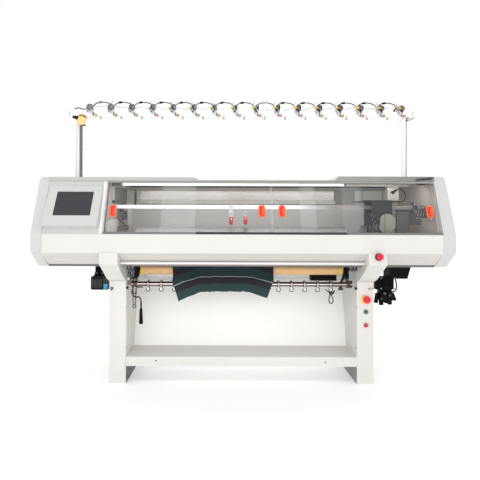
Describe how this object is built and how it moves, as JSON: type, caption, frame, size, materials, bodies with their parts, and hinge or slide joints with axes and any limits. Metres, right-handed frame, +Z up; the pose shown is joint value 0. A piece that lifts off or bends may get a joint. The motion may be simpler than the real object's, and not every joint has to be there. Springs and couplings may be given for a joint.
{
  "type": "flat knitting machine",
  "caption": "Computerised flat knitting machine: sloping needle beds and carriage behind sliding clear doors, display, take-down roller, yarn stand and two box legs.",
  "frame": {"origin": "middle of the machine's footprint on the floor", "axes": "+X along the machine, to the right seen from the front; +Y to the rear; +Z up"},
  "size_m": [2.668, 0.7757, 1.9801],
  "materials": {
    "cover_paint": "fine textured warm white paint",
    "stand_paint": "white paint, semi-gloss",
    "cap_plastic": "light grey moulded cover",
    "iron": "grey painted casting",
    "bed_steel": "ground steel",
    "track_alloy": "satin",
    "cam_alloy": "machined",
    "carriage_black": "black paint",
    "carriage_cream": "cream moulded cover",
    "feeder_red": "dull red block",
    "belt_rubber": "matt",
    "unit_black": "black",
    "screen_glass": "dark screen",
    "door_clear": "clear sheet",
    "pull_orange": "orange",
    "lamp_white": "white tube",
    "lamp_cream": "cream",
    "roller_tan": "tan roller cover",
    "shaft_steel": "bright steel",
    "knit": "striped knitted cloth",
    "stop_red": "red cap",
    "start_green": "green cap",
    "control_yellow": "yellow plate",
    "unit_grey": "grey discs and bodies",
    "wire_steel": "bright wire",
    "lead_black": "black lead"
  },
  "bodies": {
    "frame": {"back_panel": "cover_paint", "bed_brackets": "iron", "bed_frame": "iron", "control_plates": "control_yellow", "display_bezel": "cap_plastic", "display_screen": "screen_glass", "door_tracks": "track_alloy", "drive_belt": "belt_rubber", "drive_motor": "unit_black", "front_beam": "cover_paint", "front_needle_bed": "bed_steel", "guide_plate": "bed_steel", "guide_rails": "bed_steel", "hood": "cover_paint", "inner_walls": "track_alloy", "jumper_leads": "lead_black", "knitted_cloth": "knit", "left_cover": "cap_plastic", "left_end_cap": "cap_plastic", "left_leg": "cover_paint", "left_neck": "cover_paint", "light_bar": "lamp_white", "lower_covers": "cover_paint", "rear_cover": "cover_paint", "right_end_cap": "cap_plastic", "right_leg": "cover_paint", "right_neck": "cover_paint", "roller_brackets": "carriage_black", "servo_box": "unit_black", "signal_lamp": "lamp_cream", "stand_posts": "stand_paint", "takedown_motor": "unit_black", "tension_units": "unit_grey", "top_bar": "cover_paint", "tray": "cover_paint", "yarn_clamp": "carriage_black", "yarn_rails": "stand_paint"},
    "left_door": {"left_door": "door_clear", "left_door_pulls": "pull_orange"},
    "right_door": {"right_door": "door_clear", "right_door_pulls": "pull_orange"},
    "rear_bed": {"rear_needle_bed": "bed_steel"},
    "carriage": {"cam_boxes": "cam_alloy", "carriage_bridge": "carriage_black", "carriage_covers": "carriage_cream"},
    "feeder_1": {"feeder_1": "feeder_red"},
    "feeder_2": {"feeder_2": "feeder_red"},
    "feeder_3": {"feeder_3": "feeder_red"},
    "drive_pulley": {"drive_pulley": "cam_alloy"},
    "idler_pulley": {"idler_pulley": "cam_alloy"},
    "operating_bar": {"operating_bar": "track_alloy"},
    "roller": {"takedown_roller": "roller_tan"},
    "press": {"press_shaft": "shaft_steel", "press_levers": "shaft_steel", "crank": "shaft_steel"},
    "leg_stop": {"leg_stop_cap": "stop_red"},
    "neck_stop": {"neck_stop_cap": "stop_red"},
    "start_button": {"start_button": "start_green"},
    "stop_button": {"stop_button": "stop_red"},
    "take_up": {"take_up_arms": "wire_steel"}
  },
  "joints": [
    {"name": "left_door_slide", "type": "slide", "parent": "frame", "child": "left_door", "axis": [1, 0, 0], "range_m": [0, 1.06]},
    {"name": "right_door_slide", "type": "slide", "parent": "frame", "child": "right_door", "axis": [1, 0, 0], "range_m": [-1.06, 0]},
    {"name": "racking", "type": "slide", "parent": "frame", "child": "rear_bed", "axis": [1, 0, 0], "range_m": [-0.025, 0.025]},
    {"name": "carriage_slide", "type": "slide", "parent": "frame", "child": "carriage", "axis": [1, 0, 0], "range_m": [-1.65, 0]},
    {"name": "drive_pulley_spin", "type": "hinge", "parent": "frame", "child": "drive_pulley", "pos_m": [1.19, 0.21082, 0.93], "axis": [0, 1, 0], "continuous": true},
    {"name": "idler_pulley_spin", "type": "hinge", "parent": "frame", "child": "idler_pulley", "pos_m": [-0.815, 0.21082, 0.93], "axis": [0, 1, 0], "continuous": true},
    {"name": "feeder_1_slide", "type": "slide", "parent": "frame", "child": "feeder_1", "axis": [1, 0, 0], "range_m": [-0.779, 1.163]},
    {"name": "feeder_2_slide", "type": "slide", "parent": "frame", "child": "feeder_2", "axis": [1, 0, 0], "range_m": [-0.878, 1.064]},
    {"name": "feeder_3_slide", "type": "slide", "parent": "frame", "child": "feeder_3", "axis": [1, 0, 0], "range_m": [-0.073, 1.869]},
    {"name": "operating_bar_turn", "type": "hinge", "parent": "frame", "child": "operating_bar", "pos_m": [0, -0.27618, 0.832], "axis": [1, 0, 0], "range_deg": [-15, 15], "stiffness_Nm_per_rad": 2},
    {"name": "roller_spin", "type": "hinge", "parent": "frame", "child": "roller", "pos_m": [0, -0.04618, 0.767], "axis": [1, 0, 0], "continuous": true},
    {"name": "press_turn", "type": "hinge", "parent": "frame", "child": "press", "pos_m": [0, -0.09618, 0.674], "axis": [1, 0, 0], "range_deg": [0, 45]},
    {"name": "leg_stop_press", "type": "slide", "parent": "frame", "child": "leg_stop", "axis": [0, 1, 0], "range_m": [0, 0.0035], "stiffness_N_per_m": 2000},
    {"name": "neck_stop_press", "type": "slide", "parent": "frame", "child": "neck_stop", "axis": [0, 0.9907, -0.136], "range_m": [0, 0.0035], "stiffness_N_per_m": 2000},
    {"name": "start_press", "type": "slide", "parent": "frame", "child": "start_button", "axis": [0, 1, 0], "range_m": [0, 0.003], "stiffness_N_per_m": 1000},
    {"name": "stop_press", "type": "slide", "parent": "frame", "child": "stop_button", "axis": [0, 1, 0], "range_m": [0, 0.003], "stiffness_N_per_m": 1000},
    {"name": "take_up_lift", "type": "hinge", "parent": "frame", "child": "take_up", "pos_m": [0, 0.14382, 1.944], "axis": [1, 0, 0], "range_deg": [-30, 0], "stiffness_Nm_per_rad": 1.5, "springref_deg": -20.05}
  ],
  "couplings": [
    {"joint": "drive_pulley_spin", "follows": "carriage_slide", "rad_per_m": 22.222},
    {"joint": "idler_pulley_spin", "follows": "carriage_slide", "rad_per_m": 22.222}
  ]
}
